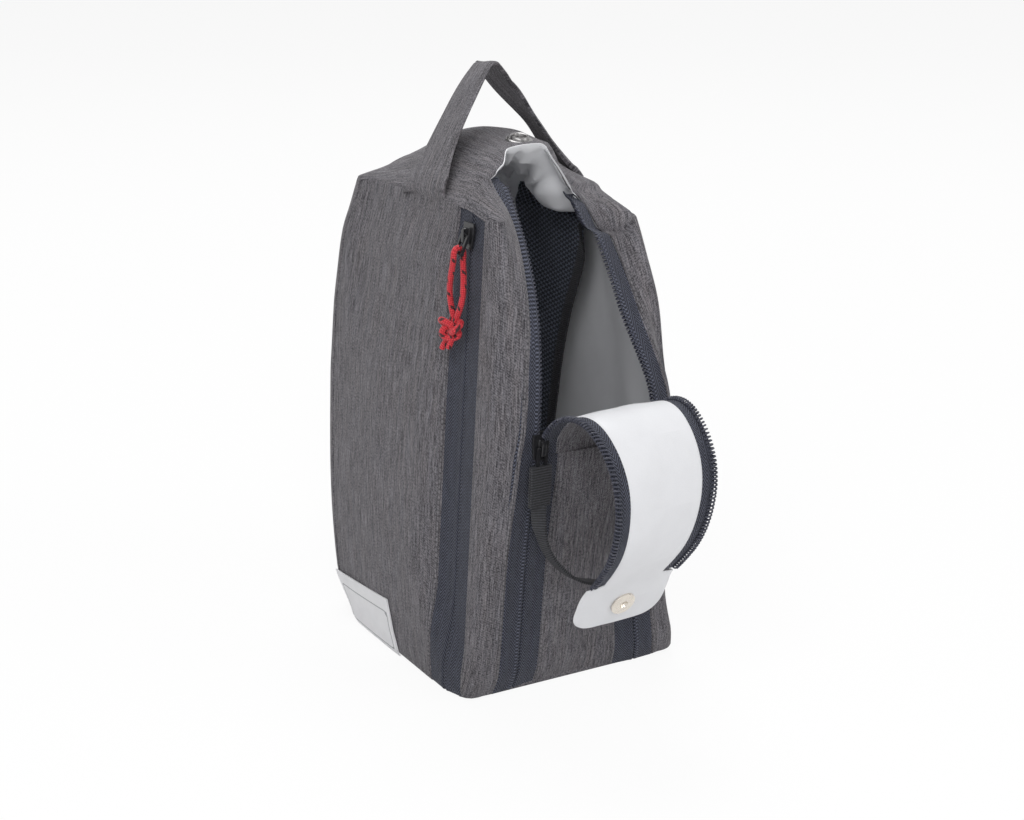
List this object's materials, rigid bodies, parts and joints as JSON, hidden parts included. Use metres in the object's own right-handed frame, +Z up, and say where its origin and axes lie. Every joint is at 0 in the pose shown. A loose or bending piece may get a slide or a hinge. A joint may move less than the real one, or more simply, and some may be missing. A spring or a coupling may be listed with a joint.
{
  "type": "toiletry bag",
  "caption": "Upright soft toiletry bag with a roll-down front flap between curved zips, a snap tab, a zipped side pocket, an inner mesh pocket and a grab handle.",
  "frame": {"origin": "middle of the base, on the surface that the bag stands on", "axes": "+Z up; the front opening faces -Y; the zipped pocket is on the -X side"},
  "size_m": [0.1266, 0.2483, 0.3176],
  "materials": {
    "bag_fabric": "woven, warm grey melange",
    "handle_fabric": "woven, warm grey melange, folded and stitched",
    "lining": "thin smooth light grey lining",
    "zip_tape": "flat woven tape, dark blue grey",
    "zip_coil": "moulded coil",
    "slider_metal": "glossy black enamel",
    "webbing": "ribbed black webbing",
    "cord": "braided red cord with black flecks",
    "mesh": "open black mesh",
    "binding": "folded dark binding",
    "snap_metal": "bright nickel",
    "label": "smooth white patch",
    "board": "plain stiff sheet"
  },
  "bodies": {
    "bag": {"back_panel": "bag_fabric", "base_panel": "bag_fabric", "base_stiffener": "board", "crown_panel": "bag_fabric", "front_panel": "bag_fabric", "front_strip_left": "bag_fabric", "front_strip_right": "bag_fabric", "front_tape_left": "zip_tape", "front_tape_right": "zip_tape", "handle_foot_left": "handle_fabric", "handle_foot_right": "handle_fabric", "label_patch": "label", "lining_back": "lining", "lining_bottom": "lining", "lining_front": "lining", "lining_left": "lining", "lining_right": "lining", "lining_top": "lining", "mesh_binding": "binding", "mesh_pocket": "mesh", "pocket_coil_front": "zip_coil", "pocket_coil_rear": "zip_coil", "pocket_tape_front": "zip_tape", "pocket_tape_rear": "zip_tape", "side_panel_left": "bag_fabric", "side_panel_right": "bag_fabric", "snap_socket": "snap_metal", "zip_chain_left": "zip_coil", "zip_chain_right": "zip_coil", "zip_coil_left": "zip_coil", "zip_coil_right": "zip_coil", "zip_tape_left": "zip_tape", "zip_tape_right": "zip_tape"},
    "flap_1": {"flap_panel_1": "bag_fabric", "flap_zip_1_left": "zip_tape", "flap_zip_1_right": "zip_tape"},
    "flap_2": {"flap_panel_2": "bag_fabric", "flap_zip_2_left": "zip_tape", "flap_zip_2_right": "zip_tape"},
    "flap_3": {"flap_panel_3": "bag_fabric", "flap_zip_3_left": "zip_tape", "flap_zip_3_right": "zip_tape"},
    "flap_4": {"flap_panel_4": "bag_fabric", "flap_zip_4_left": "zip_tape", "flap_zip_4_right": "zip_tape"},
    "snap_tab": {"snap_tab": "bag_fabric", "snap_stud": "snap_metal"},
    "slider_left": {"slider_left": "slider_metal"},
    "slider_right": {"slider_right": "slider_metal"},
    "pull_left": {"pull_ring_left": "slider_metal", "pull_tab_left": "webbing", "pull_strap_left": "webbing"},
    "pull_right": {"pull_ring_right": "slider_metal", "pull_tab_right": "webbing", "pull_strap_right": "webbing"},
    "pocket_slider": {"pocket_slider": "slider_metal"},
    "pocket_pull": {"pocket_pull": "slider_metal", "pull_cord": "cord", "cord_knot": "cord"},
    "handle": {"handle_strap": "handle_fabric"}
  },
  "joints": [
    {"name": "flap_close", "type": "hinge", "parent": "bag", "child": "flap_1", "pos_m": [0, -0.09, 0.149], "axis": [-1, 0, 0], "range_deg": [0, 69], "deforming": ["flap_zip_1_left", "flap_zip_1_right"]},
    {"name": "flap_bend_2", "type": "hinge", "parent": "flap_1", "child": "flap_2", "pos_m": [0, -0.12184, 0.16558], "axis": [-1, 0, 0], "range_deg": [0, 82.55], "deforming": ["flap_zip_2_left", "flap_zip_2_right"]},
    {"name": "flap_bend_3", "type": "hinge", "parent": "flap_2", "child": "flap_3", "pos_m": [0, -0.14852, 0.14155], "axis": [-1, 0, 0], "range_deg": [0, 64.05], "deforming": ["flap_zip_3_left", "flap_zip_3_right"]},
    {"name": "flap_bend_4", "type": "hinge", "parent": "flap_3", "child": "flap_4", "pos_m": [0, -0.14477, 0.10585], "axis": [-1, 0, 0], "range_deg": [0, 42.05], "deforming": ["flap_zip_4_left", "flap_zip_4_right"]},
    {"name": "tab_bend", "type": "hinge", "parent": "flap_4", "child": "snap_tab", "pos_m": [0, -0.12218, 0.07795], "axis": [-1, 0, 0], "range_deg": [0, 26.55]},
    {"name": "slider_run_right", "type": "hinge", "parent": "bag", "child": "slider_right", "pos_m": [0.034, 0.068, 0.149], "axis": [-0.9965, 0, -0.0839], "range_deg": [0, 46.05]},
    {"name": "slider_run_left", "type": "hinge", "parent": "bag", "child": "slider_left", "pos_m": [-0.034, 0.068, 0.149], "axis": [-0.9965, 0, 0.0839], "range_deg": [0, 46.05]},
    {"name": "pull_swing_right", "type": "hinge", "parent": "slider_right", "child": "pull_right", "pos_m": [0.03457, -0.09386, 0.14224], "axis": [-0.9965, 0, -0.0839], "range_deg": [0, 70], "deforming": ["pull_strap_right"]},
    {"name": "pull_swing_left", "type": "hinge", "parent": "slider_left", "child": "pull_left", "pos_m": [-0.03457, -0.09386, 0.14224], "axis": [-0.9965, 0, 0.0839], "range_deg": [0, 70], "deforming": ["pull_strap_left"]},
    {"name": "pocket_slide", "type": "slide", "parent": "bag", "child": "pocket_slider", "axis": [-0.0613, 0, -0.9981], "range_m": [0, 0.16]},
    {"name": "pocket_pull_swing", "type": "hinge", "parent": "pocket_slider", "child": "pocket_pull", "pos_m": [-0.05192, -0.0495, 0.24168], "axis": [0, 1, 0], "range_deg": [0, 100]},
    {"name": "handle_swing", "type": "hinge", "parent": "bag", "child": "handle", "pos_m": [0, 0, 0.2695], "axis": [1, 0, 0], "range_deg": [-18, 50]}
  ],
  "couplings": [
    {"joint": "flap_bend_2", "follows": "flap_close", "ratio": 1.1957},
    {"joint": "flap_bend_3", "follows": "flap_close", "ratio": 0.92754},
    {"joint": "flap_bend_4", "follows": "flap_close", "ratio": 0.6087},
    {"joint": "tab_bend", "follows": "flap_close", "ratio": 0.38406},
    {"joint": "slider_run_right", "follows": "flap_close", "ratio": 0.66667},
    {"joint": "slider_run_left", "follows": "flap_close", "ratio": 0.66667}
  ]
}
